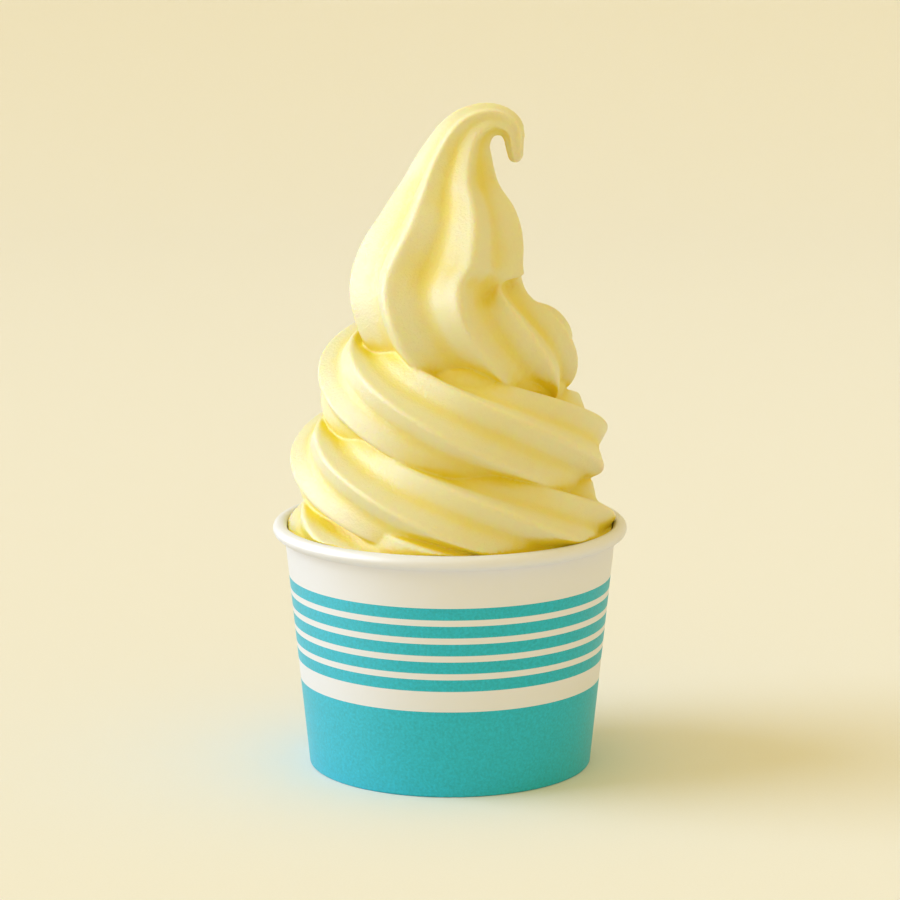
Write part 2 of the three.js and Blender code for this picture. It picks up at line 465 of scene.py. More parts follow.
@dataclass(frozen=True)
class PlainPaperFinish:
    """Uncoloured cup paper, as on the base: white and matt, with a faint fibre mottle."""

    paper: str = "#E3E6F8"
    # Drawn coarser than real fibre, so that it shows
    fibre_mm: float = 1.1
    fibre_depth_mm: float = 0.1

    def material(self) -> bpy.types.Material:
        """Build the material.

        Returns:
            The plain paper material.
        """
        material, tree, shader = new_material("plain_cup_paper")
        place = add_node(tree, "ShaderNodeTexCoord").outputs["Object"]
        fibre = add_node(tree, "ShaderNodeTexNoise", links={
            "Vector": place, "Scale": 1 / (self.fibre_mm * MM), "Detail": 4.0})
        shade = add_node(tree, "ShaderNodeMapRange", links={
            "Value": fibre.outputs[0], "From Min": 0.3, "From Max": 0.7, "To Min": 0.95, "To Max": 1.03})
        colour = add_node(tree, "ShaderNodeVectorMath", {"operation": "SCALE"}, {
            0: linear(self.paper)[:3], "Scale": shade.outputs[0]})
        bump = add_node(tree, "ShaderNodeBump", links={
            "Strength": 0.15, "Distance": self.fibre_depth_mm * MM, "Height": fibre.outputs[0]})
        feed(tree, shader, {
            "Base Color": colour.outputs[0],
            "Normal": bump.outputs[0],
            "Roughness": 0.6,
            "IOR": 1.5,
        })
        return material


@dataclass(frozen=True)
class PaperSweepFinish:
    """Matt background paper: pale, even and without gloss, so that only soft shadow shows on it."""

    colour: str = "#E9E8EA"
    # Drawn coarser than real fibre, so that it shows
    fibre_mm: float = 0.6

    def material(self) -> bpy.types.Material:
        """Build the material.

        Returns:
            The background paper material.
        """
        material, tree, shader = new_material("background_paper")
        place = add_node(tree, "ShaderNodeTexCoord").outputs["Object"]
        fibre = add_node(tree, "ShaderNodeTexNoise", links={
            "Vector": place, "Scale": 1 / (self.fibre_mm * MM), "Detail": 2.0})
        shade = add_node(tree, "ShaderNodeMapRange", links={
            "Value": fibre.outputs[0], "From Min": 0.2, "From Max": 0.8, "To Min": 0.985, "To Max": 1.015})
        colour = add_node(tree, "ShaderNodeVectorMath", {"operation": "SCALE"}, {
            0: linear(self.colour)[:3], "Scale": shade.outputs[0]})
        feed(tree, shader, {"Base Color": colour.outputs[0], "Roughness": 0.9, "Specular IOR Level": 0.0})
        return material


@dataclass
class PaperCup:
    """The cup: a flared wall with a rolled rim and a folded foot, and a raised base inside it.

    Sizes are in millimetres and angles in radians.
    """

    foot_radius: float = 38.0
    wall_flare: float = 0.1016
    paper: float = 0.7
    rim_radius: float = 47.5
    roll_radius: float = 1.9
    height: float = 66.4
    hem_height: float = 6.5
    hem_thickness: float = 2.1
    base_height: float = 7.0
    fit_gap: float = 0.3
    fold_radius: float = 0.5
    lap_azimuth: float = math.radians(97)
    lap_width: float = 7.0
    lap_step: float = 0.3
    lap_edge: float = 0.25
    lap_edge_angle: float = 0.012
    lap_edge_steps: int = 7
    lap_fade_rings: int = 6
    steps: int = 192
    wall_steps: int = 44
    roll_steps: int = 26
    fold_steps: int = 5
    base_steps: int = 24

    OUTSIDE = "outside"

    @property
    def roll_centre(self) -> tuple[float, float]:
        """Radius and height of the centre of the rim's round section."""
        return self.rim_radius - self.roll_radius, self.height - self.roll_radius

    @property
    def free_floor(self) -> float:
        """Lowest height that the contents may take."""
        return self.base_height + self.paper + self.fit_gap

    def wall_radius(self, z: float) -> float:
        """Outer radius of the wall at a height."""
        return self.foot_radius + self.wall_flare * z

    def free_radius(self, z: float) -> float:
        """Find the largest radius that the contents may take at a height inside the cup.

        Args:
            z: The height.

        Returns:
            The radius.
        """
        radius, middle = self.roll_centre
        throat = radius - self.roll_radius
        inside = min(self.wall_radius(z) - self.paper, throat)
        if z > middle:
            rise = min(z - middle, self.roll_radius)
            inside = radius - math.sqrt(self.roll_radius**2 - rise**2)
        return inside - self.fit_gap

    def wall_profile(self) -> tuple[list[tuple[float, float]], int]:
        """List the wall's section.

        Returns:
            The closed section, and the number of its first corners that lie on the printed outside.
        """
        fold = self.fold_radius
        quarter = [math.pi / 2 * i / self.fold_steps for i in range(self.fold_steps + 1)]
        corners = []
        for a in quarter:
            corners.append((self.wall_radius(fold) - fold + fold * math.sin(a), fold - fold * math.cos(a)))
        radius, middle = self.roll_centre
        under = middle - self.roll_radius * math.sqrt(0.5)
        for i in range(1, self.wall_steps):
            z = fold + (under - fold) * i / self.wall_steps
            corners.append((self.wall_radius(z), z))
        outside = len(corners)
        meets = math.acos((self.wall_radius(under) - radius) / self.roll_radius)
        for i in range(self.roll_steps + 1):
            a = -meets + (math.pi + meets) * i / self.roll_steps
            corners.append((radius + self.roll_radius * math.cos(a), middle + self.roll_radius * math.sin(a)))
        for i in range(self.wall_steps + 1):
            z = under + (self.hem_height - under) * i / self.wall_steps
            corners.append((self.wall_radius(z) - self.paper, z))
        inner = self.hem_thickness - fold
        corners.append((self.wall_radius(self.hem_height) - self.hem_thickness, self.hem_height))
        for a in quarter:
            corners.append((self.wall_radius(0) - inner - fold * math.cos(a), fold - fold * math.sin(a)))
        return corners, outside

    def azimuths(self) -> np.ndarray:
        """List the angles round the cup, closer together where the paper's lap ends in a step.

        Returns:
            The angles in rising order.
        """
        even = np.arange(self.steps) * 2 * math.pi / self.steps
        near = self.lap_azimuth + np.linspace(-self.lap_edge_angle, self.lap_edge_angle, self.lap_edge_steps)
        return np.sort(np.concatenate([even, near]))

    def lift_lap(self, mesh: bpy.types.Mesh, outside: int, count: int) -> None:
        """Raise the strip where the wall's paper overlaps itself.

        Args:
            mesh: The wall's mesh.
            outside: The number of rings on the wall's outside.
            count: The number of points in a ring.
        """
        for vertex in mesh.vertices[: outside * count]:
            turn = math.atan2(vertex.co.y, vertex.co.x) - self.lap_azimuth
            away = turn * math.hypot(vertex.co.x, vertex.co.y) / MM
            start = min(max(away / self.lap_edge, 0.0), 1.0)
            end = min(max((2 * self.lap_width - away) / self.lap_width, 0.0), 1.0)
            ring = vertex.index // count
            fade = min(1.0, ring / self.lap_fade_rings, (outside - ring) / self.lap_fade_rings)
            lift = self.lap_step * start * end * end * (3 - 2 * end) * fade
            vertex.co += Vector((vertex.co.x, vertex.co.y, 0)).normalized() * lift * MM

    def build_wall(self) -> bpy.types.Object:
        """Build the wall with its rim and folded foot.

        Returns:
            The wall, with an attribute that tells its printed outside.
        """
        corners, outside = self.wall_profile()
        azimuths = self.azimuths()
        mesh = turned_mesh("paper_wall", corners, azimuths, closed=True)
        self.lift_lap(mesh, outside, len(azimuths))
        store(mesh, self.OUTSIDE, np.arange(len(mesh.vertices)) < outside * len(azimuths))
        return new_object("paper_wall", mesh)

    def build_base(self) -> bpy.types.Object:
        """Build the raised base, a flat disc.

        Returns:
            The base.
        """
        low, high = self.base_height, self.base_height + self.paper
        edge = self.wall_radius(low) - self.paper - self.fit_gap
        radii = [edge * i / self.base_steps for i in range(self.base_steps + 1)]
        corners = [(radius, low) for radius in radii] + [(radius, high) for radius in reversed(radii)]
        mesh = turned_mesh("paper_base", corners, self.azimuths(), closed=False)
        return new_object("paper_base", mesh)

    def dress(self, wall: bpy.types.Object, base: bpy.types.Object) -> None:
        """Give the cup's pieces their paper and tie them to the frame.

        Args:
            wall: The wall piece.
            base: The base piece.
        """
        wall.data.materials.append(PrintedPaperFinish().material())
        base.data.materials.append(PlainPaperFinish().material())
        for piece, node, slot in ((wall, Node.WALL, Slot.PRINTED), (base, Node.BASE, Slot.PLAIN)):
            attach(piece, BODY)
            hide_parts(node.value)


@dataclass
class SoftServe:
    """A ridged rope of soft serve, coiled in the cup and drawn up to a hooked tip.

    Sizes are in millimetres and angles in radians. A coil row holds reach and height at a half turn, a tip
    row x, y, z, half width and half height, and a corner of the fill radius and height.
    """

    coil_rows: tuple[tuple[float, float], ...] = (
        (29.5, 56),
        (30.3, 62.3),
        (28.8, 65.5),
        (28.7, 82.2),
        (27, 87.7),
        (21.7, 104.3),
        (18.1, 110.8),
    )
    coil_centre: tuple[float, float] = (0.8, -2.1)
    first_turn: float = -1.0
    last_turn: float = 2.0
    stations_per_turn: int = 12
    rope_half_width: float = 13.3
    rope_half_height: float = 12.4
    rope_swell: float = 0.6
    tip_rows: tuple[tuple[float, float, float, float, float], ...] = (
        (17.5, -9.1, 113, 14.5, 14.2),
        (8.4, -10.9, 116.4, 17.4, 17.6),
        (0.8, -11, 120.7, 20.3, 19.4),
        (-2, -8.8, 127.5, 21.5, 20),
        (-1.2, -6.3, 136.5, 21.3, 19.4),
        (0.7, -5.1, 147.2, 18.4, 16.4),
        (1.5, -4.4, 159.6, 12, 10.9),
        (4.8, -4.5, 170, 6.8, 6.7),
        (10.6, -4.3, 173.9, 4.3, 4.2),
        (15.9, -4.3, 171.9, 3.1, 3.1),
        (17.1, -4.3, 164.8, 2, 1.9),
    )
    ridges: int = 7
    ridge_depth: float = 0.105
    ridge_sharpness: float = 0.14
    ridge_keenness: float = 0.08
    ridge_edge: float = 0.045
    ridge_azimuth: float = math.radians(-75)
    ridge_twist: float = math.radians(42)
    bend_twists: tuple[float, ...] = (math.radians(-36), math.radians(-15), math.radians(-2))
    pinch_place: tuple[float, float, float] = (3, -11, 119.8)
    pinch_depth: float = 0.19
    pinch_length: float = 7.2
    pinch_azimuth: float = math.radians(-36)
    pinch_spread: float = math.radians(16)
    fold_place: tuple[float, float, float] = (18, -9, 132.5)
    fold_reach: float = 10.0
    fold_passes: int = 120
    points_per_ridge: int = 24
    steps_per_station: int = 8
    end_steps: int = 6
    chord_share: float = 0.42
    fill: tuple[tuple[float, float], ...] = (
        (44, 64.8), (31, 66), (30.8, 105), (29, 109), (27.5, 111.5), (8, 118))
    fill_steps: int = 96
    weld: float = 0.002
    voxel: float = 0.4
    softening: float = 0.5
    unevenness: float = 0.25
    unevenness_size: float = 11.0
    most_triangles: int = 190000
    limit_step: float = 0.1
    relief_passes: int = 60
    relief_height: float = 0.9
    hollow_reach: float = 12.0
    hollow_start: float = 0.2
    hollow_rays: int = 16

    # Relief sets the painted highlight on crests and the painted shade in valleys
    RELIEF = "relief"
    # This attribute measures how closed in each point is, which sets the painted crease shade
    CREASE_SHADE = "painted_crease_shade"
    DIRECTION = "rope_direction"
    HALF = "rope_half"
    TWIST = "ridge_twist"

    def stations(self) -> np.ndarray:
        """List the rope's centre, half sizes and the turn of its ridges at even steps.

        Returns:
            Rows of x, y, z, half width and half height in millimetres, and the ridges' turn in radians.
        """
        count = round((self.last_turn - self.first_turn) * self.stations_per_turn)
        half_turns = np.array(self.coil_rows)
        # Round the bend into the tip the ridges turn on by one ridge's place
        ridge_place = 2 * math.pi / self.ridges
        rows = []
        for i in range(count + 1):
            turn = self.first_turn + i / self.stations_per_turn
            azimuth = -2 * math.pi * turn
            reach, height = along(half_turns, (len(half_turns) - 1) * i / count)
            rows.append((
                self.coil_centre[0] + reach * math.cos(azimuth),
                self.coil_centre[1] + reach * math.sin(azimuth),
                height,
                self.rope_half_width,
                self.rope_half_height + self.rope_swell * turn,
                self.ridge_twist * (self.last_turn - turn) - ridge_place,
            ))
        twists = self.bend_twists + (0.0,) * (len(self.tip_rows) - len(self.bend_twists))
        rows += [(*row, twist) for row, twist in zip(self.tip_rows, twists)]
        return np.array(rows)

    def path(self) -> np.ndarray:
        """Read the rope closely along its length, with its start closed and its tip rounded off.

        Returns:
            Rows as in the stations.
        """
        stations = self.stations()
        count = (len(stations) - 1) * self.steps_per_station
        rows = [along(stations, (len(stations) - 1) * i / count) for i in range(count + 1)]
        heading = rows[-1][:3] - rows[-2][:3]
        heading /= np.linalg.norm(heading)
        end = rows[-1].copy()
        for i in range(1, self.end_steps + 1):
            a = math.pi / 2 * i / self.end_steps
            row = end.copy()
            row[:3] += heading * end[3] * math.sin(a)
            row[3:5] *= math.cos(a)
            rows.append(row)
        start = rows[0].copy()
        start[3:5] = 0
        return np.array([start] + rows)

    def directions(self, path: np.ndarray) -> np.ndarray:
        """Find the slant of each section from the chord of path that lies about it.

        Args:
            path: Rows of the rope's path.

        Returns:
            One unit direction for each row.
        """
        gaps = np.linalg.norm(np.diff(path[:, :3], axis=0), axis=1)
        run = np.concatenate([[0], np.cumsum(gaps)])
        reach = self.chord_share * np.maximum(path[:, 3], 1.0)
        chord = np.stack([
            np.interp(run + reach, run, axis) - np.interp(run - reach, run, axis)
            for axis in path[:, :3].T], axis=1)
        return chord / np.linalg.norm(chord, axis=1, keepdims=True)

    def path_object(self) -> bpy.types.Object:
        """Make the path as a line that carries each section's slant, half sizes and turn.

        Returns:
            The line.
        """
        path = self.path()
        mesh = bpy.data.meshes.new("rope_path")
        mesh.from_pydata(path[:, :3] * MM, [(i, i + 1) for i in range(len(path) - 1)], [])
        halves = np.concatenate([path[:, 3:5] * MM, np.zeros((len(path), 1))], axis=1)
        for name, values in ((self.DIRECTION, self.directions(path)), (self.HALF, halves)):
            attribute = mesh.attributes.new(name, "FLOAT_VECTOR", "POINT")
            attribute.data.foreach_set("vector", values.astype(np.float32).ravel())
        store(mesh, self.TWIST, path[:, 5])
        return new_object("rope", mesh)

    def sweep_tree(self) -> tuple[bpy.types.NodeTree, dict[str, str]]:
        """Build the tree that sweeps a ridged section along the path.

        Returns:
            The tree, and the identifier of each of its named inputs.
        """
        tree, inputs = new_tree("ridged_rope", {
            "Path": "Geometry", "Ridges": "Float", "Ridge Depth": "Float", "Ridge Sharpness": "Float",
            "Ridge Keenness": "Float", "Ridge Edge": "Float", "Ridge Azimuth": "Float",
            "Pinch Place": "Vector", "Pinch Depth": "Float", "Pinch Length": "Float",
            "Pinch Azimuth": "Float", "Pinch Spread": "Float", "Points Around": "Int",
            "Weld": "Float", "Material": "Material"}, "Rope")
        given = add_node(tree, "NodeGroupInput").outputs
        path = given["Path"]

        # Grid of points: each row is a section, each column runs along the rope
        length = add_node(tree, "GeometryNodeAttributeDomainSize", {"component": "MESH"}, {0: path})
        around = add_node(tree, "ShaderNodeMath", {"operation": "ADD"}, {0: given["Points Around"], 1: 1.0})
        sheet = add_node(tree, "GeometryNodeMeshGrid", links={
            "Vertices X": length.outputs["Point Count"], "Vertices Y": around.outputs[0]})
        index = add_node(tree, "GeometryNodeInputIndex").outputs[0]
        part = add_node(tree, "ShaderNodeMath", {"operation": "DIVIDE"}, {0: index, 1: around.outputs[0]})
        row = add_node(tree, "ShaderNodeMath", {"operation": "FLOOR"}, {0: part.outputs[0]}).outputs[0]
        share = add_node(tree, "ShaderNodeMath", {"operation": "MODULO"}, {0: index, 1: around.outputs[0]})
        lap = add_node(tree, "ShaderNodeMath", {"operation": "DIVIDE"}, {
            0: share.outputs[0], 1: given["Points Around"]})
        from_crest = add_node(tree, "ShaderNodeMath", {"operation": "MULTIPLY"}, {
            0: lap.outputs[0], 1: 2 * math.pi}).outputs[0]

        # Ridged radius of the section, whose columns of points follow the twisting crests
        twist = add_node(tree, "GeometryNodeInputNamedAttribute", {"data_type": "FLOAT"}, {0: self.TWIST})
        turned = add_node(tree, "GeometryNodeSampleIndex", {"data_type": "FLOAT"}, {
            "Geometry": path, "Value": twist.outputs[0], "Index": row})
        first_crest = add_node(tree, "ShaderNodeMath", {"operation": "ADD"}, {
            0: turned.outputs[0], 1: given["Ridge Azimuth"]})
        angle = add_node(tree, "ShaderNodeMath", {"operation": "ADD"}, {
            0: from_crest, 1: first_crest.outputs[0]}).outputs[0]
        wave = add_node(tree, "ShaderNodeMath", {"operation": "MULTIPLY"}, {
            0: from_crest, 1: given["Ridges"]}).outputs[0]
        ridge = add_node(tree, "ShaderNodeMath", {"operation": "COSINE"}, {0: wave})
        for times, name in ((2.0, "Ridge Sharpness"), (3.0, "Ridge Keenness"), (4.0, "Ridge Edge")):
            finer = add_node(tree, "ShaderNodeMath", {"operation": "MULTIPLY"}, {0: wave, 1: times})
            fine_wave = add_node(tree, "ShaderNodeMath", {"operation": "COSINE"}, {0: finer.outputs[0]})
            ridge = add_node(tree, "ShaderNodeMath", {"operation": "MULTIPLY_ADD"}, {
                0: fine_wave.outputs[0], 1: given[name], 2: ridge.outputs[0]})
        radius = add_node(tree, "ShaderNodeMath", {"operation": "MULTIPLY_ADD"}, {
            0: ridge.outputs[0], 1: given["Ridge Depth"], 2: 1.0})

        # Rope's centre, direction and half sizes at the section
        sources = [add_node(tree, "GeometryNodeInputPosition")]
        for name in (self.DIRECTION, self.HALF):
            sources.append(add_node(tree, "GeometryNodeInputNamedAttribute", {"data_type": "FLOAT_VECTOR"}, {
                0: name}))
        centre, direction, half = (
            add_node(tree, "GeometryNodeSampleIndex", {"data_type": "FLOAT_VECTOR"}, {
                "Geometry": path, "Value": source.outputs[0], "Index": row}).outputs[0]
            for source in sources)

        # Pinch on the inside of the bend, which fades both along the rope and round its section
        away = add_node(tree, "ShaderNodeVectorMath", {"operation": "DISTANCE"}, {
            0: centre, 1: given["Pinch Place"]}).outputs["Value"]
        off = add_node(tree, "ShaderNodeMath", {"operation": "SUBTRACT"}, {
            0: angle, 1: given["Pinch Azimuth"]}).outputs[0]
        far = 0.0
        for gap, spread in ((away, given["Pinch Length"]), (off, given["Pinch Spread"])):
            ratio = add_node(tree, "ShaderNodeMath", {"operation": "DIVIDE"}, {0: gap, 1: spread}).outputs[0]
            far = add_node(tree, "ShaderNodeMath", {"operation": "MULTIPLY_ADD"}, {
                0: ratio, 1: ratio, 2: far}).outputs[0]
        fade = add_node(tree, "ShaderNodeMath", {"operation": "POWER"}, {0: math.exp(-1), 1: far})
        pinch = add_node(tree, "ShaderNodeMath", {"operation": "MULTIPLY"}, {
            0: fade.outputs[0], 1: given["Pinch Depth"]})
        pinched = add_node(tree, "ShaderNodeMath", {"operation": "SUBTRACT"}, {
            0: radius.outputs[0], 1: pinch.outputs[0]})
        across = add_node(tree, "ShaderNodeMath", {"operation": "COSINE"}, {0: angle})
        ahead = add_node(tree, "ShaderNodeMath", {"operation": "SINE"}, {0: angle})
        unit = add_node(tree, "ShaderNodeCombineXYZ", links={0: across.outputs[0], 1: ahead.outputs[0]})
        spoke = add_node(tree, "ShaderNodeVectorMath", {"operation": "SCALE"}, {
            0: unit.outputs[0], "Scale": pinched.outputs[0]})

        # Slant of the section: the least turn from upright to the rope's direction
        turn = add_node(tree, "FunctionNodeAlignRotationToVector", {"axis": "Z"}, {"Vector": direction})
        slanted = add_node(tree, "FunctionNodeRotateVector", links={
            "Vector": spoke.outputs[0], "Rotation": turn.outputs[0]}).outputs[0]
        level = add_node(tree, "ShaderNodeVectorMath", {"operation": "CROSS_PRODUCT"}, {
            0: direction, 1: (0.0, 0.0, 1.0)})
        side = add_node(tree, "ShaderNodeVectorMath", {"operation": "NORMALIZE"}, {
            0: level.outputs[0]}).outputs[0]
        rise = add_node(tree, "ShaderNodeVectorMath", {"operation": "CROSS_PRODUCT"}, {
            0: side, 1: direction}).outputs[0]

        # Place of each point: the slanted spoke, stretched to the rope's width and height
        halves = add_node(tree, "ShaderNodeSeparateXYZ", links={0: half})
        place = centre
        for axis, size in ((side, halves.outputs[0]), (rise, halves.outputs[1])):
            reach = add_node(tree, "ShaderNodeVectorMath", {"operation": "DOT_PRODUCT"}, {
                0: slanted, 1: axis})
            scaled = add_node(tree, "ShaderNodeMath", {"operation": "MULTIPLY"}, {
                0: reach.outputs["Value"], 1: size})
            step = add_node(tree, "ShaderNodeVectorMath", {"operation": "SCALE"}, {
                0: axis, "Scale": scaled.outputs[0]})
            place = add_node(tree, "ShaderNodeVectorMath", {"operation": "ADD"}, {
                0: place, 1: step.outputs[0]}).outputs[0]
        shaped = add_node(tree, "GeometryNodeSetPosition", links={
            "Geometry": sheet.outputs["Mesh"], "Position": place})
        closed = add_node(tree, "GeometryNodeMergeByDistance", links={
            "Geometry": shaped.outputs[0], "Distance": given["Weld"]})
        end_tree(tree, closed.outputs[0], given["Material"])
        return tree, inputs

    def uneven_tree(self) -> tuple[bpy.types.NodeTree, dict[str, str]]:
        """Build the tree that gives the smooth surface its slight hand-drawn unevenness.

        Returns:
            The tree, and the identifier of each of its named inputs.
        """
        tree, inputs = new_tree("soft_unevenness", {
            "Surface": "Geometry", "Depth": "Float", "Scale": "Float", "Material": "Material"}, "Surface")
        given = add_node(tree, "NodeGroupInput").outputs
        noise = add_node(tree, "ShaderNodeTexNoise", links={"Scale": given["Scale"], "Detail": 2.0})
        height = add_node(tree, "ShaderNodeMath", {"operation": "SUBTRACT"}, {0: noise.outputs[0], 1: 0.5})
        depth = add_node(tree, "ShaderNodeMath", {"operation": "MULTIPLY"}, {
            0: height.outputs[0], 1: given["Depth"]})
        normal = add_node(tree, "GeometryNodeInputNormal")
        step = add_node(tree, "ShaderNodeVectorMath", {"operation": "SCALE"}, {
            0: normal.outputs[0], "Scale": depth.outputs[0]})
        moved = add_node(tree, "GeometryNodeSetPosition", links={
            "Geometry": given["Surface"], "Offset": step.outputs[0]})
        end_tree(tree, moved.outputs[0], given["Material"])
        return tree, inputs

    def build_rope(self, material: bpy.types.Material) -> bpy.types.Object:
        """Sweep the rope along its path.

        Args:
            material: The rope's material.

        Returns:
            The rope as a closed mesh whose coils still overlap.
        """
        rope = self.path_object()
        tree, inputs = self.sweep_tree()
        put_tree(rope, tree, inputs, {
            "Ridges": float(self.ridges),
            "Ridge Depth": self.ridge_depth,
            "Ridge Sharpness": self.ridge_sharpness,
            "Ridge Keenness": self.ridge_keenness,
            "Ridge Edge": self.ridge_edge,
            "Ridge Azimuth": self.ridge_azimuth,
            "Pinch Place": [v * MM for v in self.pinch_place],
            "Pinch Depth": self.pinch_depth,
            "Pinch Length": self.pinch_length * MM,
            "Pinch Azimuth": self.pinch_azimuth,
            "Pinch Spread": self.pinch_spread,
            "Points Around": self.ridges * self.points_per_ridge,
            "Weld": self.weld * MM,
            "Material": material,
        })
        return applied(rope)

    def build_fill(self, cup: PaperCup) -> bpy.types.Object:
        """Build the fill under and between the coils, down to the cup's base.

        Args:
            cup: The cup that holds it.

        Returns:
            The fill as a closed mesh.
        """
        floor = cup.free_floor
        profile = [(0.0, floor), (cup.free_radius(floor), floor), *self.fill, (0.0, self.fill[-1][1])]
        azimuths = np.arange(self.fill_steps) * 2 * math.pi / self.fill_steps
        return new_object("fill", turned_mesh("fill", profile, azimuths, closed=False))

    def fuse(self, rope: bpy.types.Object, fill: bpy.types.Object,
             material: bpy.types.Material) -> bpy.types.Object:
        """Fuse the coils and the fill into one soft surface.

        Args:
            rope: The swept rope.
            fill: The fill, which is used up.
            material: The soft serve material.

        Returns:
            The fused piece.
        """
        with bpy.context.temp_override(active_object=rope, selected_editable_objects=[rope, fill]):
            bpy.ops.object.join()
        skin = rope.modifiers.new("skin", "REMESH")
        skin.mode = "VOXEL"
        skin.voxel_size = self.voxel * MM
        skin.use_smooth_shade = True
        soften = rope.modifiers.new("soften", "SMOOTH")
        soften.factor = self.softening
        soften.iterations = 1
        tree, inputs = self.uneven_tree()
        put_tree(rope, tree, inputs, {
            "Depth": self.unevenness * MM,
            "Scale": 1 / (self.unevenness_size * MM),
            "Material": material,
        })
        piece = applied(rope)
        triangles = sum(len(face.vertices) - 2 for face in piece.data.polygons)
        if triangles > self.most_triangles:
            thin = piece.modifiers.new("thin", "DECIMATE")
            thin.ratio = self.most_triangles / triangles
            piece = applied(piece)
        piece.name = "soft_serve_swirl"
        piece.data.name = piece.name
        return piece

    def press_into(self, piece: bpy.types.Object, cup: PaperCup) -> None:
        """Press the soft serve clear of the cup's wall, rim and base.

        Args:
            piece: The fused piece.
            cup: The cup that holds it.
        """
        points = read_vectors(piece.data, "co")
        radius = np.hypot(points[:, 0], points[:, 1])
        heights = np.arange(0.0, cup.height + cup.fit_gap, self.limit_step)
        limits = np.array([cup.free_radius(z) for z in heights])
        free = np.interp(points[:, 2] / MM, heights, limits, right=np.inf) * MM
        shrink = np.divide(free, radius, out=np.ones_like(free), where=radius > free)
        points[:, :2] *= shrink[:, None]
        points[:, 2] = np.maximum(points[:, 2], cup.free_floor * MM)
        move_points(piece.data, points)

    def round_fold(self, piece: bpy.types.Object) -> None:
        """Round off the fold on the inside of the bend, where the soft rope lies against itself.

        Args:
            piece: The fused piece.
        """
        points, even = evened(piece.data, self.fold_passes)
        away = np.linalg.norm(points / MM - np.array(self.fold_place), axis=1) / self.fold_reach
        move_points(piece.data, points + np.exp(-away ** 4)[:, None] * (even - points))

    def mark_relief(self, piece: bpy.types.Object) -> None:
        """Store how far each point stands out of, or lies below, the surface around it.

        This sets the painted highlight on crests and the painted shade in valleys.

        Args:
            piece: The fused piece.
        """
        points, even = evened(piece.data, self.relief_passes)
        normals = read_vectors(piece.data, "normal")
        height = np.einsum("ij,ij->i", points - even, normals) / (self.relief_height * MM)
        store(piece.data, self.RELIEF, np.clip(height, -1.0, 1.0))

    def mark_hollows(self, piece: bpy.types.Object, wall: bpy.types.Object) -> None:
        """Store how much of the space in front of each point is closed in by the soft serve or the cup.

        This sets the painted shade in creases and hollows.

        Args:
            piece: The fused piece.
            wall: The cup's wall.
        """
        mesh = piece.data
        points = [vertex.co.copy() for vertex in mesh.vertices]
        faces = [face.vertices[:] for face in mesh.polygons]
        faces += [[len(points) + i for i in face.vertices] for face in wall.data.polygons]
        tree = BVHTree.FromPolygons(points + [vertex.co.copy() for vertex in wall.data.vertices], faces)
        golden_angle = math.pi * (3 - math.sqrt(5))
        fan = []
        for i in range(self.hollow_rays):
            spin = golden_angle * i
            lift = math.sqrt((i + 0.5) / self.hollow_rays)
            flat = math.sqrt(1 - lift * lift)
            fan.append(Vector((flat * math.cos(spin), flat * math.sin(spin), lift)))
        reach = self.hollow_reach * MM
        closed = np.zeros(len(points), np.float32)
        for i, vertex in enumerate(mesh.vertices):
            turn = vertex.normal.to_track_quat("Z", "Y")
            start = points[i] + vertex.normal * self.hollow_start * MM
            for ray in fan:
                distance = tree.ray_cast(start, turn @ ray, reach)[3]
                if distance is not None:
                    closed[i] += (1 - distance / reach) / self.hollow_rays
        store(mesh, self.CREASE_SHADE, closed)

    def build(self, cup: PaperCup, wall: bpy.types.Object) -> bpy.types.Object:
        """Build the whole serving.

        Args:
            cup: The cup that holds it.
            wall: The cup's wall.

        Returns:
            The soft serve as one piece.
        """
        material = SoftServeFinish().material()
        piece = self.fuse(self.build_rope(material), self.build_fill(cup), material)
        self.round_fold(piece)
        self.press_into(piece, cup)
        self.mark_relief(piece)
        self.mark_hollows(piece, wall)
        piece.data.shade_smooth()
        return piece

    def dress(self, piece: bpy.types.Object) -> None:
        """Tie the serving to the frame.

        Args:
            piece: The serving.
        """
        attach(piece, BODY)
        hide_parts(Node.SOFT_SERVE.value)


@dataclass(frozen=True)
class KeyLight:
    """A broad soft light, far enough off to fall evenly on the whole set, with angles in radians."""

    azimuth: float = math.radians(183)
    height: float = math.radians(41)
    spread: float = math.radians(40)
    strength: float = 1.72
    colour: str = "#C4E2FF"

    def build(self) -> None:
        """Put the light into the scene."""
        light = bpy.data.lights.new("key", "SUN")
        light.angle = self.spread
        light.energy = self.strength
        light.color = linear(self.colour)[:3]
        holder = bpy.data.objects.new("key", light)
        flat = math.cos(self.height)
        toward = Vector((flat * math.cos(self.azimuth), flat * math.sin(self.azimuth), math.sin(self.height)))
        holder.location = toward
        holder.rotation_euler = toward.to_track_quat("Z", "Y").to_euler()
        bpy.context.scene.collection.objects.link(holder)


@dataclass(frozen=True)
class SheenPanel:
    """A tall white panel beside the cup that shows only as a soft sheen on coated and moist surfaces.

    Its places are in metres.
    """

    side: float = -0.9
    depths: tuple[float, float] = (-0.8, 0.6)
    top: float = 0.9
    power: float = 92.0
    colour: str = "#E6EFFF"

    def build(self) -> None:
        """Put the panel into the scene, facing the cup."""
        light = bpy.data.lights.new("sheen_panel", "AREA")
        light.shape = "RECTANGLE"
        light.size = self.depths[1] - self.depths[0]
        light.size_y = self.top
        light.energy = self.power
        light.color = linear(self.colour)[:3]
        holder = bpy.data.objects.new("sheen_panel", light)
        holder.location = (self.side, sum(self.depths) / 2, self.top / 2)
        holder.rotation_euler = (math.pi / 2, 0.0, -math.pi / 2)
        holder.visible_diffuse = False
        holder.visible_camera = False
        bpy.context.scene.collection.objects.link(holder)


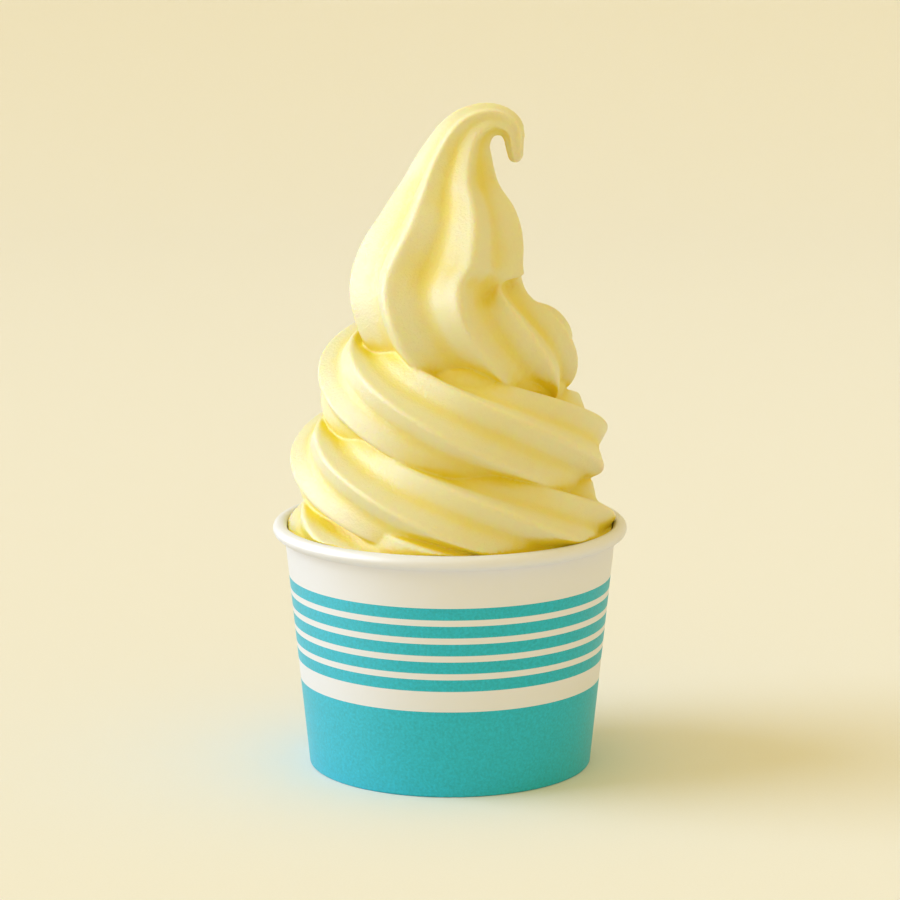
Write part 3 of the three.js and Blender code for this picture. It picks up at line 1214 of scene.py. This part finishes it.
@dataclass
class Studio:
    """A pale paper sweep, soft light from the left, warm room light and the camera, in metres and degrees."""

    camera_place: tuple[float, float, float] = (0.0, -0.914, 0.2617)
    camera_pitch: float = 10.925
    focal_px: float = 3479.0
    frame_px: float = 900.0
    sensor_mm: float = 36.0
    sweep_front: float = -2.5
    sweep_floor: tuple[float, float] = (-1.0, 1.1)
    sweep_floor_rows: int = 8
    sweep_bend: float = 0.6
    sweep_bend_steps: int = 24
    sweep_top: float = 3.0
    sweep_half_width: float = 4.0
    air: tuple[float, float, float] = (0.94, 0.755, 0.325)
    air_lit_side: float = 1.1
    air_far_side: float = 0.96
    key: KeyLight = KeyLight()
    panel: SheenPanel = SheenPanel()

    def build_sweep(self) -> None:
        """Build the background paper: a floor that curves up into a wall."""
        start = self.sweep_floor[1]
        rows = [(self.sweep_front, 0.0)]
        rows += [(y, 0.0) for y in np.linspace(*self.sweep_floor, self.sweep_floor_rows)]
        for i in range(1, self.sweep_bend_steps + 1):
            a = math.pi / 2 * i / self.sweep_bend_steps
            rise = self.sweep_bend - self.sweep_bend * math.cos(a)
            rows.append((start + self.sweep_bend * math.sin(a), rise))
        rows.append((start + self.sweep_bend, self.sweep_top))
        points = [(x, y, z) for y, z in rows for x in (-self.sweep_half_width, self.sweep_half_width)]
        faces = [(2 * i, 2 * i + 1, 2 * i + 3, 2 * i + 2) for i in range(len(rows) - 1)]
        mesh = bpy.data.meshes.new("paper_sweep")
        mesh.from_pydata(points, [], faces)
        mesh.shade_smooth()
        sweep = new_object("paper_sweep", mesh)
        sweep.data.materials.append(PaperSweepFinish().material())

    def build_air(self) -> None:
        """Fill the room with warm light, brighter on the side of the key light."""
        world = bpy.data.worlds.new("room")
        world.use_nodes = True
        tree = world.node_tree
        sky = tree.nodes["Background"]
        sky.inputs["Color"].default_value = (*self.air, 1.0)
        toward = add_node(tree, "ShaderNodeTexCoord").outputs["Generated"]
        across = add_node(tree, "ShaderNodeSeparateXYZ", links={0: toward}).outputs[0]
        strength = add_node(tree, "ShaderNodeMapRange", links={
            "Value": across, "From Min": -1.0, "From Max": 1.0,
            "To Min": self.air_lit_side, "To Max": self.air_far_side})
        tree.links.new(strength.outputs[0], sky.inputs["Strength"])
        bpy.context.scene.world = world

    def build_camera(self) -> None:
        """Set the camera at the photograph's viewpoint."""
        lens = bpy.data.cameras.new("camera")
        lens.sensor_width = self.sensor_mm
        lens.lens = self.sensor_mm * self.focal_px / self.frame_px
        holder = bpy.data.objects.new("camera", lens)
        holder.location = self.camera_place
        holder.rotation_euler = (math.radians(90 - self.camera_pitch), 0.0, 0.0)
        bpy.context.scene.collection.objects.link(holder)
        bpy.context.scene.camera = holder

    def build(self) -> None:
        """Build the whole studio."""
        bpy.context.scene.view_settings.view_transform = "Standard"
        self.build_sweep()
        self.build_air()
        self.key.build()
        self.panel.build()
        self.build_camera()


def main() -> None:
    """Build the cup, its serving and the studio, and report each piece."""
    logging.basicConfig(level=logging.INFO, format="%(name)s: %(message)s")
    Studio().build()
    cup = PaperCup()
    wall, base = cup.build_wall(), cup.build_base()
    cup.dress(wall, base)
    serving = SoftServe()
    swirl = serving.build(cup, wall)
    serving.dress(swirl)
    for piece in (wall, base, swirl):
        LOG.info("%s: %d faces", piece.name, len(piece.data.polygons))


if __name__ == "__main__":
    main()
